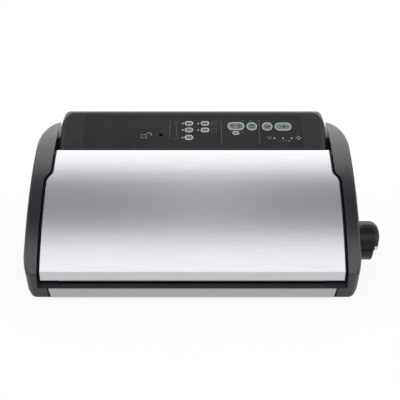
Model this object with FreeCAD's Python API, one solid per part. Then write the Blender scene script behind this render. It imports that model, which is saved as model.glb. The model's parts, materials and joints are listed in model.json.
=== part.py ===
"""Countertop vacuum sealer, each separate piece as its own solid, in millimetres.

+X is the user's right, +Y the back and +Z up. The model is drawn with X = 0 on the body's middle plane and
Y = 0 on the lid's lip, and is then moved so that the origin lies under the middle of its outer box.
"""
import FreeCAD, Part
import math
import os

from FreeCAD import Vector

# Body outline, seen from above
BODY_HALF_WIDTH = 194.0
BODY_FRONT = -5.0
BODY_BACK = 213.0
FRONT_CORNER_X = 11.0
FRONT_CORNER_Y = 21.0
REAR_CORNER_X = 31.0
REAR_CORNER_Y = 60.0
WALL = 2.5

# Heights of the base
FOOT_DROP = 3.0
SEAM_Z = 34.0
TAPER_Z = 9.0
TAPER_AT_FLOOR = 4.0
TAPER_AT_KNEE = 2.0
DECK_TOP = 15.3
DECK_T = 2.5
DECK_CLEAR = 0.2
POST_DEPTH = 12.0

# Lid: a steel skin bowed about the X axis, over a plastic frame
LID_R = 285.0
LIP_TOP = 34.5
LIP_HEIGHT = 11.8
LIP_SLOPE = 46.6
LID_JOG = 7.0
JOG_START = 93.0
JOG_LENGTH = 18.0
LID_BORDER = 2.4
LID_SIDE_GAP = 1.0
LID_BACK = 148.5
LID_BOX_BACK = 44.5
LID_BOX_GAP = 1.5
SKIN_T = 1.0
FRAME_WALL = 3.0
KNUCKLE_R = 4.5
KNUCKLE_WRAP = 70.0
HINGE_PIN_R = 2.5
HINGE_PIN_GRIP = 12.0
HINGE_BUSH_T = 2.0
HINGE_RUN = 0.05

# Side covers
COVER_WIDTH = 16.0
COVER_PROUD = 1.5
COVER_EDGE_R = 4.0
DECK_ROOF_DROP = 16.0

# Sealing line
CHAMBER_STACK = 4.0
SOFT_GAP = 0.3
SOFT_SEAT = 1.5
SEAL_INSET = 20.0
SEAL_BAR_FRONT = 4.0
SEAL_BAR_WIDTH = 9.0
SEAL_FILM_T = 0.4
ELEMENT_WIDTH = 3.0
GASKET_FRONT = 17.0
GASKET_BACK = 41.0
GASKET_WIDTH = 3.5
GASKET_INSET = 17.0
GASKET_R = 9.0
DRIP_INSET = 98.0
DRIP_CLEAR = 0.6
DRIP_FIT = 0.3
DRIP_LIP = 1.5
DRIP_DEPTH = 7.0
DRIP_T = 1.2

# Latch
LATCH_Y = 56.0
LATCH_Z = 41.0
SHAFT_R = 4.0
SHAFT_RUN = 0.05
SHAFT_HOLE_GAP = 0.6
HOOK_REACH = 15.0
HOOK_HALF = 2.5
HOOK_T = 6.0
HOOK_HUB_R = 7.0
HOOK_INSET = 28.0
HOOK_SIDE_GAP = 1.0
CATCH_GAP = 0.5
BRACKET_STEP = 12.0
BRACKET_T = 8.0
BRACKET_HALF = 7.0
CLIP_R = 6.5
CLIP_T = 1.2
CLIP_GAP = 0.3
KNOB_R = 22.6
KNOB_DISC = 21.0
KNOB_RIM = 16.5
KNOB_REACH = 25.3
KNOB_GAP = 0.6
KNOB_EDGE_R = 1.5
GRIP_LEAN = 30.0
GRIP_STEP = 0.9
GRIP_EDGE_R = 11.0
GRIP_CREST = 10.0
GRIP_CUT = 9.8
GRIP_LINE = 1.2
GRIP_LINE_DEPTH = 1.5
GROOVE_R = 1.0
GROOVE_START = 4.0
GROOVE_LENGTH = 15.0
GROOVE_ANGLES = (37.0, 45.0, 53.0)
POINTER_T = 1.2
POINTER_HALF = 1.6
POINTER_LENGTH = 6.0
POINTER_PROUD = 1.5

# Control housing: a sloping panel between the side covers
HOUSING_SIDE_GAP = 3.5
HOUSING_GAP = 0.8
PANEL_Z = 115.8
PANEL_SLOPE = 25.0
HUMP_R = 8.0
HOUSING_EDGE_R = 7.0
HOUSING_CORNER_R = 16.0
BROW_R = 2.5
PANEL_WALL = 3.0
RECESS = 1.9
FASCIA_T = 1.5
FASCIA_SIDE = 31.0
FASCIA_LOW = 2.5
FASCIA_MARGIN = 4.0
FASCIA_R = 7.0
FASCIA_CLEAR = 0.1

# Buttons: name, distance from the fascia's right end and up the panel, length and width
BUTTONS = (
    ("button_dry", 141.8, 41.4, 10.6, 7.0),
    ("button_moist", 141.8, 30.7, 10.6, 7.0),
    ("button_canister", 141.8, 18.6, 10.6, 7.4),
    ("button_gentle", 121.6, 41.4, 10.6, 7.0),
    ("button_normal", 121.6, 30.7, 10.6, 7.0),
    ("button_vacuum", 82.5, 37.0, 21.0, 12.4),
    ("button_option", 82.8, 25.8, 8.6, 5.6),
    ("button_seal", 62.5, 36.6, 13.0, 13.0),
    ("button_crush", 43.1, 36.4, 13.0, 13.0),
    ("button_start", 23.1, 36.2, 21.0, 12.4),
)
BUTTON_RIM = 0.9
BUTTON_GAP = 0.2
BUTTON_PROUD = 0.5
BUTTON_EDGE_R = 0.4
BUTTON_FLANGE = 0.8
BUTTON_FLANGE_T = 1.2
BUTTON_STEM_R = 1.6
BUTTON_STEM = 2.0
BUTTON_TRAVEL = 0.7
SWITCH_CLEAR = 0.2
SWITCH_SIZE = 4.4
SWITCH_HEIGHT = 3.6
BOARD_T = 1.6
BOARD_INSET = 5.0
BOARD_LOW = 7.0
BOARD_HIGH = 49.0
LAMP_R = 1.2
LAMPS = ((149.6, 41.4), (149.6, 30.7), (149.6, 18.6), (130.1, 41.4), (130.1, 30.7),
         (34.7, 17.6), (24.1, 17.6), (13.2, 17.6))
PORT_FROM_END = 176.6
PORT_UP = 23.1
PORT_BORE_R = 2.8
PORT_WALL = 1.6
PORT_DEPTH = 15.0
PORT_CLEAR = 0.3

# Base fittings
STRIP_INSET = 9.5
STRIP_SLANT = 2.5
STRIP_T = 1.5
STRIP_EDGE_R = 1.2
STRIP_LOW = 0.6
FOOT_R = 8.0
FOOT_INSET = 28.0
FOOT_SEAT = 0.5
SCREW_R = 1.5
SCREW_HEAD_R = 3.0
SCREW_HEAD_T = 2.0
SCREW_COVER = 1.0
BOSS_R = 5.0
BOSS_INSET = 14.0
BOSS_YS = (70.0, 140.0)
GLAND_INSET = 46.0
GLAND_Z = 52.0
GLAND_R = 8.0
GLAND_BORE_R = 3.6
GLAND_OUT = 5.0
VENT_COUNT = 6
VENT_PITCH = 9.0
VENT_WIDTH = 3.0
VENT_HALF = 45.0

# Works inside the base
PUMP_INSET = 44.0
PUMP_Y = 130.0
PUMP_HALF = 22.0
PUMP_HEIGHT = 48.0
PLATE_T = 3.0
PLATE_MARGIN = 6.0
MOTOR_R = 20.0
MOTOR_LENGTH = 56.0
TRANSFORMER_INSET = 86.0
TRANSFORMER_Y = 135.0
CORE_HALF = 30.0
CORE_DEPTH = 34.0
CORE_HEIGHT = 52.0
COIL_MARGIN = 8.0
HOSE_R = 3.2
HOSE_BORE_R = 1.8
HOSE_BEND = 12.0
HOSE_RISE = 24.0
HOSE_CLIMB = 18.0
HOSE_LAST = 18.0
VALVE_R = 10.0
VALVE_TOP = 55.0
ELBOW_HALF = 5.0
SUCTION_STEP = 11.0

# Worked-out places
ARC_Y = LID_R * math.sin(math.radians(LIP_SLOPE))
ARC_Z = LIP_TOP - LID_R * math.cos(math.radians(LIP_SLOPE))
LIP_BOTTOM = LIP_TOP - LIP_HEIGHT
FLOOR_TOP = FOOT_DROP + WALL
SEAL_PLANE = DECK_TOP + CHAMBER_STACK
COVER_INNER_FRONT = BODY_HALF_WIDTH - COVER_WIDTH
COVER_INNER_REAR = COVER_INNER_FRONT - LID_JOG
FRAME_HALF_FRONT = COVER_INNER_FRONT - LID_SIDE_GAP
LID_HALF_FRONT = FRAME_HALF_FRONT - LID_BORDER
SEAL_HALF = LID_HALF_FRONT - SEAL_INSET
GASKET_HALF = LID_HALF_FRONT - GASKET_INSET
DRIP_HALF = GASKET_HALF - DRIP_INSET
STRIP_HALF = LID_HALF_FRONT - STRIP_INSET
DECK_HALF = FRAME_HALF_FRONT - WALL
HOOK_X = DECK_HALF - HOOK_INSET
BRACKET_X = HOOK_X + BRACKET_STEP
BOSS_X = BODY_HALF_WIDTH - BOSS_INSET
PUMP_X = PUMP_INSET - DECK_HALF
TRANSFORMER_X = DECK_HALF - TRANSFORMER_INSET
SUCTION_X = PUMP_X - SUCTION_STEP
HOUSING_HALF = COVER_INNER_REAR - HOUSING_SIDE_GAP
GLAND_X = HOUSING_HALF - GLAND_INSET
FASCIA_HALF = HOUSING_HALF - FASCIA_SIDE
BOARD_HALF = FASCIA_HALF - BOARD_INSET
PORT_X = FASCIA_HALF - PORT_FROM_END
DECK_WALL_Y = LID_BOX_BACK + LID_BOX_GAP
DECK_R = LID_R - DECK_ROOF_DROP
HINGE_Y = LID_BACK - KNUCKLE_R
HINGE_Z = ARC_Z + math.sqrt((LID_R - KNUCKLE_R) ** 2 - (ARC_Y - HINGE_Y) ** 2)
PANEL_Y = LID_BACK + HOUSING_GAP
HUMP_START = BODY_BACK - HUMP_R * (1 + math.sin(math.radians(PANEL_SLOPE)))
PANEL_LENGTH = (HUMP_START - PANEL_Y) / math.cos(math.radians(PANEL_SLOPE))
FASCIA_HIGH = PANEL_LENGTH - FASCIA_MARGIN
KNOB_X = BODY_HALF_WIDTH + KNOB_GAP
KNOB_OUT = KNOB_X + KNOB_REACH
FRONT_MOST = BODY_FRONT - STRIP_T
BACK_MOST = BODY_BACK + GLAND_OUT
BUTTON_TOP = BUTTON_PROUD - RECESS + FASCIA_T
BUTTON_FOOT = -PANEL_WALL - BUTTON_GAP - BUTTON_FLANGE_T - BUTTON_STEM
BOARD_TOP = BUTTON_FOOT - BUTTON_TRAVEL - SWITCH_CLEAR - SWITCH_HEIGHT
SHIFT = Vector((BODY_HALF_WIDTH - KNOB_OUT) / 2, -(FRONT_MOST + BACK_MOST) / 2, 0)
PANEL = FreeCAD.Placement(Vector(0, PANEL_Y, PANEL_Z), FreeCAD.Rotation(Vector(1, 0, 0), PANEL_SLOPE))
FAR = 400.0
TOUCH = 0.01


def box(x0, x1, y0, y1, z0, z1):
    return Part.makeBox(x1 - x0, y1 - y0, z1 - z0, Vector(x0, y0, z0))


def rod_x(x0, x1, y, z, r):
    return Part.makeCylinder(r, x1 - x0, Vector(x0, y, z), Vector(1, 0, 0))


def rod_y(x, y0, y1, z, r):
    return Part.makeCylinder(r, y1 - y0, Vector(x, y0, z), Vector(0, 1, 0))


def rod_z(x, y, z0, z1, r):
    return Part.makeCylinder(r, z1 - z0, Vector(x, y, z0))


def fuse(shapes):
    return shapes[0].multiFuse(list(shapes[1:])).removeSplitter()


def mirrored(shape):
    return shape.mirror(Vector(0, 0, 0), Vector(1, 0, 0))


def on_panel(shape):
    placed = shape.copy()
    placed.Placement = PANEL.multiply(placed.Placement)
    return placed


def line(a, b):
    return Part.LineSegment(a, b).toShape()


def arc(a, middle, b):
    return Part.Arc(a, middle, b).toShape()


def side(y, z):
    return Vector(0, y, z)


def arc_z(y, r):
    """Height, at depth y, of the circle of radius r about the lid's centre of bend."""
    return ARC_Z + math.sqrt(r ** 2 - (ARC_Y - y) ** 2)


def bow(r, y0, y1):
    middle = (y0 + y1) / 2
    return arc(side(y0, arc_z(y0, r)), side(middle, arc_z(middle, r)), side(y1, arc_z(y1, r)))


def across(edges, x0, x1):
    """Solid whose outline, seen from the side, is the closed run of edges, from x0 to x1."""
    face = Part.Face(Part.Wire(Part.__sortEdges__(edges)))
    solid = face.extrude(Vector(x1 - x0, 0, 0))
    solid.translate(Vector(x0, 0, 0))
    return solid


def under_bow(r, y0, y1, z0, x0, x1):
    """Solid between height z0 and the bowed surface of radius r."""
    corners = (side(y1, arc_z(y1, r)), side(y1, z0), side(y0, z0), side(y0, arc_z(y0, r)))
    edges = [bow(r, y0, y1)]
    edges += [line(a, b) for a, b in zip(corners, corners[1:])]
    return across(edges, x0, x1)


def stadium(x, y, length, width, z0, z1):
    """Upright prism with round ends; a round prism where length and width are equal."""
    r = width / 2
    reach = (length - width) / 2
    if reach < TOUCH:
        return rod_z(x, y, z0, z1, r)
    edges = [line(Vector(x - reach, y - r, z0), Vector(x + reach, y - r, z0)),
             arc(Vector(x + reach, y - r, z0), Vector(x + reach + r, y, z0), Vector(x + reach, y + r, z0)),
             line(Vector(x + reach, y + r, z0), Vector(x - reach, y + r, z0)),
             arc(Vector(x - reach, y + r, z0), Vector(x - reach - r, y, z0), Vector(x - reach, y - r, z0))]
    return Part.Face(Part.Wire(edges)).extrude(Vector(0, 0, z1 - z0))


def rounded_box(x0, x1, y0, y1, z0, z1, r):
    solid = box(x0, x1, y0, y1, z0, z1)
    upright = [e for e in solid.Edges if e.BoundBox.ZLength > e.Length - TOUCH]
    return solid.makeFillet(r, upright)


def oval_corner(centre, reach_x, reach_y):
    """Quarter of an ellipse that is longer along Y than along X."""
    oval = Part.Ellipse(centre + Vector(0, reach_y, 0), centre + Vector(reach_x, 0, 0), centre)
    return Part.ArcOfEllipse(oval, 0, math.pi / 2).toShape()


def body_wire(z, sides, front, corner_trim):
    """Body outline at height z, drawn in by sides at the sides and back, and by front at the front."""
    half = BODY_HALF_WIDTH - sides
    y_front = BODY_FRONT + front
    y_back = BODY_BACK - sides
    a_front = FRONT_CORNER_X - corner_trim
    b_front = FRONT_CORNER_Y - corner_trim
    a_rear = REAR_CORNER_X - corner_trim
    b_rear = REAR_CORNER_Y - corner_trim
    edges = [line(Vector(a_front - half, y_front, z), Vector(half - a_front, y_front, z)),
             line(Vector(a_rear - half, y_back, z), Vector(half - a_rear, y_back, z))]
    for s in (1, -1):
        edges.append(oval_corner(Vector(s * (half - a_front), y_front + b_front, z), s * a_front, -b_front))
        edges.append(line(Vector(s * half, y_front + b_front, z), Vector(s * half, y_back - b_rear, z)))
        edges.append(oval_corner(Vector(s * (half - a_rear), y_back - b_rear, z), s * a_rear, b_rear))
    return Part.Wire(Part.__sortEdges__(edges))


def body_prism(inset, z0, z1):
    return Part.Face(body_wire(z0, inset, inset, inset)).extrude(Vector(0, 0, z1 - z0))


def taper(z):
    """How far the base's sides stand in from the body outline at height z."""
    if z < TAPER_Z:
        return TAPER_AT_KNEE + (TAPER_AT_FLOOR - TAPER_AT_KNEE) * (TAPER_Z - z) / (TAPER_Z - FOOT_DROP)
    return TAPER_AT_KNEE * (SEAM_Z - z) / (SEAM_Z - TAPER_Z)


def base_form(inset, z0):
    """Tapered base from height z0 to the seam, drawn in all round by inset."""
    heights = (z0, TAPER_Z, SEAM_Z)
    wires = [body_wire(z, taper(z) + inset, inset, inset) for z in heights]
    return Part.makeLoft(wires, True, True)


def tray_well(z, height):
    """Upright prism that fits inside the base, from height z where the base is narrower than above."""
    inset = WALL + DECK_CLEAR
    return Part.Face(body_wire(z, taper(z) + inset, inset, inset)).extrude(Vector(0, 0, height))


def lid_plan(half_front, z0, z1):
    """Lid outline from above: wide in front, narrow behind the jog, as a tall prism."""
    half_rear = half_front - LID_JOG
    jog_end = JOG_START + JOG_LENGTH
    middle = Vector(half_front - LID_JOG / 2, JOG_START + JOG_LENGTH / 2, z0)
    bend = (JOG_LENGTH ** 2 + LID_JOG ** 2) / (4 * LID_JOG)
    turn = math.asin(JOG_LENGTH / 2 / bend) / 2
    rise = bend * math.sin(turn)
    step = bend * (1 - math.cos(turn))
    edges = [line(Vector(-half_front, -FAR, z0), Vector(half_front, -FAR, z0)),
             line(Vector(half_rear, FAR, z0), Vector(-half_rear, FAR, z0))]
    for s in (1, -1):
        start = Vector(s * half_front, JOG_START, z0)
        crossing = Vector(s * middle.x, middle.y, z0)
        finish = Vector(s * half_rear, jog_end, z0)
        edges.append(line(Vector(s * half_front, -FAR, z0), start))
        edges.append(arc(start, Vector(s * (half_front - step), JOG_START + rise, z0), crossing))
        edges.append(arc(crossing, Vector(s * (half_rear + step), jog_end - rise, z0), finish))
        edges.append(line(finish, Vector(s * half_rear, FAR, z0)))
    return Part.Face(Part.Wire(Part.__sortEdges__(edges))).extrude(Vector(0, 0, z1 - z0))


def around_hinge(degrees, r):
    """Point on the circle of radius r about the hinge, measured from straight up towards the back."""
    angle = math.radians(degrees)
    return side(HINGE_Y + r * math.sin(angle), HINGE_Z + r * math.cos(angle))


def hinge_lean():
    """Lean of the lid's surface normal at the hinge, in degrees forward of straight up."""
    return math.degrees(math.atan2(ARC_Y - HINGE_Y, HINGE_Z - ARC_Z))


def lid_envelope():
    """Outside of the closed lid: front box, bowed shell and round knuckle at the back."""
    lean = -hinge_lean()
    top = around_hinge(lean, KNUCKLE_R)
    back = around_hinge(lean + 90, KNUCKLE_R)
    low = around_hinge(lean + 180, KNUCKLE_R)
    inner_r = LID_R - 2 * KNUCKLE_R
    box_top = side(LID_BOX_BACK, arc_z(LID_BOX_BACK, inner_r))
    edges = [line(side(0, LIP_BOTTOM), side(0, LIP_TOP)), bow(LID_R, 0, top.y), arc(top, back, low),
             bow(inner_r, low.y, LID_BOX_BACK), line(box_top, side(LID_BOX_BACK, LIP_BOTTOM)),
             line(side(LID_BOX_BACK, LIP_BOTTOM), side(0, LIP_BOTTOM))]
    return across(edges, -FRAME_HALF_FRONT, FRAME_HALF_FRONT)


def lid_skin():
    lean = -hinge_lean()
    inner = LID_R - SKIN_T
    pin_r = KNUCKLE_R - SKIN_T
    end = lean + KNUCKLE_WRAP
    half_way = (lean + end) / 2
    top_out = around_hinge(lean, KNUCKLE_R)
    top_in = around_hinge(lean, pin_r)
    end_out = around_hinge(end, KNUCKLE_R)
    end_in = around_hinge(end, pin_r)
    edges = [line(side(0, LIP_BOTTOM), side(0, LIP_TOP)), bow(LID_R, 0, top_out.y),
             arc(top_out, around_hinge(half_way, KNUCKLE_R), end_out), line(end_out, end_in),
             arc(end_in, around_hinge(half_way, pin_r), top_in), bow(inner, top_in.y, SKIN_T),
             line(side(SKIN_T, arc_z(SKIN_T, inner)), side(SKIN_T, LIP_BOTTOM)),
             line(side(SKIN_T, LIP_BOTTOM), side(0, LIP_BOTTOM))]
    sheet = across(edges, -LID_HALF_FRONT, LID_HALF_FRONT)
    return sheet.common(lid_plan(LID_HALF_FRONT, 0, FAR))


def hook_slots(y0, y1, z0, z1):
    half = HOOK_T / 2 + HOOK_SIDE_GAP
    return [box(s * HOOK_X - half, s * HOOK_X + half, y0, y1, z0, z1) for s in (1, -1)]


def lid_frame():
    frame = lid_envelope().common(lid_plan(FRAME_HALF_FRONT, 0, FAR))
    inner = LID_HALF_FRONT - FRAME_WALL
    pocket_back = LID_BOX_BACK - FRAME_WALL
    pocket = box(-inner, inner, SKIN_T + FRAME_WALL, pocket_back, LIP_BOTTOM + FRAME_WALL, FAR)
    rear_inner = inner - LID_JOG
    floor_r = LID_R - 2 * KNUCKLE_R + FRAME_WALL
    rear_pocket = box(-rear_inner, rear_inner, LID_BOX_BACK, HINGE_Y - KNUCKLE_R - FRAME_WALL, 0, FAR)
    rear_pocket = rear_pocket.cut(under_bow(floor_r, 0, LID_BACK, -FAR, -FAR, FAR))
    catch_z = LATCH_Z - HOOK_HALF + CATCH_GAP
    slot_top = LATCH_Z + HOOK_REACH
    cuts = [lid_skin(), pocket, rear_pocket, pressure_strip(), upper_gasket()]
    cuts += hook_slots(pocket_back - FRAME_WALL, LID_BOX_BACK + FRAME_WALL, catch_z, slot_top)
    cuts += hinge_pins().Solids
    return frame.cut(Part.makeCompound(cuts))


def hinge_pins():
    inner = COVER_INNER_REAR - LID_SIDE_GAP - HINGE_PIN_GRIP
    outer = COVER_INNER_REAR + WALL + HINGE_BUSH_T
    pin = rod_x(inner, outer, HINGE_Y, HINGE_Z, HINGE_PIN_R)
    return Part.makeCompound([pin, mirrored(pin)])


def hinge_bush():
    outer = rod_x(COVER_INNER_REAR, COVER_INNER_REAR + WALL + HINGE_BUSH_T, HINGE_Y, HINGE_Z,
                  HINGE_PIN_R + HINGE_BUSH_T)
    return outer.cut(rod_x(0, FAR, HINGE_Y, HINGE_Z, HINGE_PIN_R + HINGE_RUN))


def hinge_bushes():
    return Part.makeCompound([hinge_bush(), mirrored(hinge_bush())])


def pressure_strip():
    return box(-SEAL_HALF, SEAL_HALF, SEAL_BAR_FRONT, SEAL_BAR_FRONT + SEAL_BAR_WIDTH, SEAL_PLANE + SOFT_GAP,
               LIP_BOTTOM + SOFT_SEAT)


def gasket_ring(z0, z1):
    inner_r = GASKET_R - GASKET_WIDTH
    outer = rounded_box(-GASKET_HALF, GASKET_HALF, GASKET_FRONT, GASKET_BACK, z0, z1, GASKET_R)
    inner = rounded_box(-GASKET_HALF + GASKET_WIDTH, GASKET_HALF - GASKET_WIDTH, GASKET_FRONT + GASKET_WIDTH,
                        GASKET_BACK - GASKET_WIDTH, z0, z1, inner_r)
    return outer.cut(inner)


def upper_gasket():
    return gasket_ring(SEAL_PLANE + SOFT_GAP, LIP_BOTTOM + SOFT_SEAT)


def lower_gasket():
    return gasket_ring(DECK_TOP - SOFT_SEAT, SEAL_PLANE)


def shaft_hole():
    return rod_x(-FAR, FAR, LATCH_Y, LATCH_Z, SHAFT_R + SHAFT_HOLE_GAP)


def foot_places():
    x = BODY_HALF_WIDTH - TAPER_AT_FLOOR - FOOT_INSET
    ys = (BODY_FRONT + FOOT_INSET, BODY_BACK - TAPER_AT_FLOOR - FOOT_INSET)
    return [(s * x, y) for s in (1, -1) for y in ys]


def rubber_feet():
    return Part.makeCompound([rod_z(x, y, 0, FOOT_DROP + FOOT_SEAT, FOOT_R) for x, y in foot_places()])


def boss_places():
    return [(s * BOSS_X, y) for s in (1, -1) for y in BOSS_YS]


def base_screw(x, y):
    head = rod_z(x, y, FOOT_DROP, FOOT_DROP + SCREW_HEAD_T, SCREW_HEAD_R)
    return fuse([head, rod_z(x, y, FOOT_DROP, DECK_TOP - SCREW_COVER, SCREW_R)])


def base_screws():
    return Part.makeCompound([base_screw(x, y) for x, y in boss_places()])


def corner_posts():
    """Blocks inside the two front corners of the base, up to the seam."""
    post = box(COVER_INNER_FRONT, BODY_HALF_WIDTH, BODY_FRONT, BODY_FRONT + POST_DEPTH, FOOT_DROP, SEAM_Z)
    return [post, mirrored(post)]


def base_tray():
    outside = base_form(0, FOOT_DROP)
    tray = outside.cut(base_form(WALL, FLOOR_TOP))
    mouth = box(-COVER_INNER_FRONT, COVER_INNER_FRONT, BODY_FRONT - WALL, BODY_FRONT + 2 * WALL, DECK_TOP,
                SEAM_Z + WALL)
    posts = [post.common(outside) for post in corner_posts()]
    bosses = [rod_z(x, y, FOOT_DROP, DECK_TOP - DECK_T, BOSS_R) for x, y in boss_places()]
    tray = fuse([tray.cut(mouth)] + posts + [boss.common(outside) for boss in bosses])
    return tray.cut(Part.makeCompound(rubber_feet().Solids + base_screws().Solids))


def front_strip():
    z0 = FOOT_DROP + STRIP_LOW
    low = STRIP_HALF - STRIP_SLANT
    corners = [Vector(-low, FRONT_MOST, z0), Vector(low, FRONT_MOST, z0),
               Vector(STRIP_HALF, FRONT_MOST, DECK_TOP), Vector(-STRIP_HALF, FRONT_MOST, DECK_TOP)]
    strip = Part.Face(Part.makePolygon(corners + corners[:1])).extrude(Vector(0, STRIP_T, 0))
    middle = Vector(0, FRONT_MOST, DECK_TOP)
    upper = [e for e in strip.Edges if e.CenterOfMass.distanceToPoint(middle) < TOUCH]
    return strip.makeFillet(STRIP_EDGE_R, upper)


def base_deck():
    """Chamber floor with a raised, bowed cover over the works behind it."""
    low = DECK_TOP - DECK_T
    plate = tray_well(low, DECK_T)
    raised = under_bow(DECK_R, DECK_WALL_Y, PANEL_Y + WALL, low, -DECK_HALF, DECK_HALF)
    raised = raised.common(lid_plan(DECK_HALF, 0, FAR))
    inside = under_bow(DECK_R - WALL, DECK_WALL_Y + WALL, BODY_BACK, 0, -DECK_HALF, DECK_HALF)
    inside = inside.common(lid_plan(DECK_HALF - WALL, 0, FAR))
    y_mid = drip_middle()
    drip_half_width = drip_well_half()
    well = box(-DRIP_HALF, DRIP_HALF, y_mid - drip_half_width, y_mid + drip_half_width, 0, FAR)
    suction = rod_z(SUCTION_X, y_mid, 0, FAR, HOSE_BORE_R)
    slot_top = arc_z(DECK_WALL_Y, LID_R)
    cuts = [inside, well, suction, shaft_hole(), lower_gasket(), seal_bar()]
    cuts += [post.common(base_form(0, FOOT_DROP)) for post in corner_posts()]
    cuts += hook_slots(DECK_WALL_Y - WALL, LATCH_Y, LATCH_Z - HOOK_HALF - CATCH_GAP, slot_top)
    cuts += base_screws().Solids
    return fuse([plate, raised]).cut(Part.makeCompound(cuts))


def drip_middle():
    return (GASKET_FRONT + GASKET_BACK) / 2


def drip_well_half():
    """Half width of the opening in the deck that the drip tray hangs in."""
    return (GASKET_BACK - GASKET_FRONT) / 2 - GASKET_WIDTH - DRIP_CLEAR - DRIP_LIP


def drip_tray():
    y = drip_middle()
    half = drip_well_half() - DRIP_FIT
    length = DRIP_HALF - DRIP_FIT
    rim = box(-length - DRIP_LIP, length + DRIP_LIP, y - half - DRIP_LIP, y + half + DRIP_LIP, DECK_TOP,
              DECK_TOP + DRIP_T)
    pan = box(-length, length, y - half, y + half, DECK_TOP - DRIP_DEPTH, DECK_TOP + DRIP_T)
    hollow = box(-length + DRIP_T, length - DRIP_T, y - half + DRIP_T, y + half - DRIP_T,
                 DECK_TOP - DRIP_DEPTH + DRIP_T, FAR)
    return fuse([rim, pan]).cut(hollow)


def seal_bar():
    return box(-SEAL_HALF, SEAL_HALF, SEAL_BAR_FRONT, SEAL_BAR_FRONT + SEAL_BAR_WIDTH, DECK_TOP - SOFT_SEAT,
               SEAL_PLANE - 2 * SEAL_FILM_T)


def heating_element():
    middle = SEAL_BAR_FRONT + SEAL_BAR_WIDTH / 2
    return box(-SEAL_HALF, SEAL_HALF, middle - ELEMENT_WIDTH / 2, middle + ELEMENT_WIDTH / 2,
               SEAL_PLANE - 2 * SEAL_FILM_T, SEAL_PLANE - SEAL_FILM_T)


def seal_tape():
    cover = box(-SEAL_HALF, SEAL_HALF, SEAL_BAR_FRONT, SEAL_BAR_FRONT + SEAL_BAR_WIDTH,
                SEAL_PLANE - 2 * SEAL_FILM_T, SEAL_PLANE)
    return cover.cut(heating_element())


def side_cover():
    """Hollow cover, bowed as the lid is; its inner wall stands on the deck, the outer one on the base."""
    top_r = LID_R + COVER_PROUD
    y0 = BODY_FRONT - WALL
    y1 = BODY_BACK + WALL
    block = body_prism(0, DECK_TOP, FAR).common(under_bow(top_r, y0, y1, 0, 0, FAR))
    block = block.cut(lid_plan(COVER_INNER_FRONT, 0, FAR))
    block = rounded_top(block, top_r)
    hollow = body_prism(WALL, 0, FAR).common(under_bow(top_r - WALL, y0, y1, 0, 0, FAR))
    hollow = hollow.cut(lid_plan(COVER_INNER_FRONT + WALL, 0, FAR))
    skirt = lid_plan(COVER_INNER_FRONT + WALL, 0, FAR).common(tray_well(DECK_TOP, SEAM_Z - DECK_TOP))
    below_seam = body_prism(-WALL, 0, SEAM_Z).cut(skirt)
    cover = block.cut(Part.makeCompound([hollow, below_seam])).cut(corner_posts()[0])
    bush_hole = rod_x(0, COVER_INNER_REAR + WALL + HINGE_BUSH_T, HINGE_Y, HINGE_Z, HINGE_PIN_R + HINGE_BUSH_T)
    return max(cover.cut(bush_hole).Solids, key=lambda solid: solid.Volume)


def rounded_top(block, top_r):
    """The block with the outer top edge rounded."""
    edges = []
    for edge in block.Edges:
        middle = edge.valueAt((edge.FirstParameter + edge.LastParameter) / 2)
        on_top = abs(middle.z - arc_z(middle.y, top_r)) < TOUCH
        outside = middle.x > COVER_INNER_FRONT + COVER_EDGE_R
        if on_top and outside and edge.Length > 2 * FRONT_CORNER_Y:
            edges.append(edge)
    return block.makeFillet(COVER_EDGE_R, edges)


def side_cover_right():
    return side_cover().cut(shaft_hole())


def side_cover_left():
    return mirrored(side_cover())


def rear_cover():
    top = housing_low()
    shell = body_prism(0, SEAM_Z, top).cut(body_prism(WALL, SEAM_Z, top))
    half = COVER_INNER_REAR - LID_SIDE_GAP
    cover = shell.common(box(-half, half, BODY_BACK - REAR_CORNER_Y / 2, BODY_BACK, SEAM_Z, top))
    vents = []
    for i in range(VENT_COUNT):
        z = top - VENT_PITCH * (i + 1)
        vents.append(box(-VENT_HALF, VENT_HALF, BODY_BACK - 2 * WALL, BODY_BACK + WALL, z - VENT_WIDTH, z))
    gland_hole = rod_y(GLAND_X, BODY_BACK - 2 * WALL, BODY_BACK + WALL, GLAND_Z, GLAND_R - WALL)
    return cover.cut(Part.makeCompound(vents + [gland_hole]))


def cord_gland():
    neck = rod_y(GLAND_X, BODY_BACK - 2 * WALL, BODY_BACK, GLAND_Z, GLAND_R - WALL)
    collar = rod_y(GLAND_X, BODY_BACK, BACK_MOST, GLAND_Z, GLAND_R)
    bore = rod_y(GLAND_X, BODY_BACK - 2 * WALL, BACK_MOST, GLAND_Z, GLAND_BORE_R)
    return fuse([neck, collar]).cut(bore)


def panel_point(along, depth):
    """Point in the side view, given its distance up the panel and its depth under the panel's face."""
    slope = math.radians(PANEL_SLOPE)
    return side(PANEL_Y + along * math.cos(slope) + depth * math.sin(slope),
                PANEL_Z + along * math.sin(slope) - depth * math.cos(slope))


def housing_low():
    """Height of the housing's lower edge, on the back edge of the deck's raised cover."""
    return arc_z(PANEL_Y + WALL, DECK_R)


def housing_form(front_wall, panel_wall, half, z_low):
    """Housing seen from the side: upright front, sloping panel, round hump and upright back."""
    r = HUMP_R - panel_wall
    y_front = PANEL_Y + front_wall
    y_back = BODY_BACK - panel_wall
    centre = panel_point(PANEL_LENGTH, HUMP_R)
    crest = panel_point(PANEL_LENGTH, panel_wall)
    lean = math.radians(90 - PANEL_SLOPE) / 2
    shoulder = centre + side(r * math.sin(lean), r * math.cos(lean))
    slope = math.tan(math.radians(PANEL_SLOPE))
    foot = panel_point(0, panel_wall)
    brow = side(y_front, foot.z + (y_front - foot.y) * slope)
    back = side(y_back, centre.z)
    edges = [line(side(y_front, z_low), brow), line(brow, crest), arc(crest, shoulder, back),
             line(back, side(y_back, z_low)), line(side(y_back, z_low), side(y_front, z_low))]
    return across(edges, -half, half)


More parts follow.
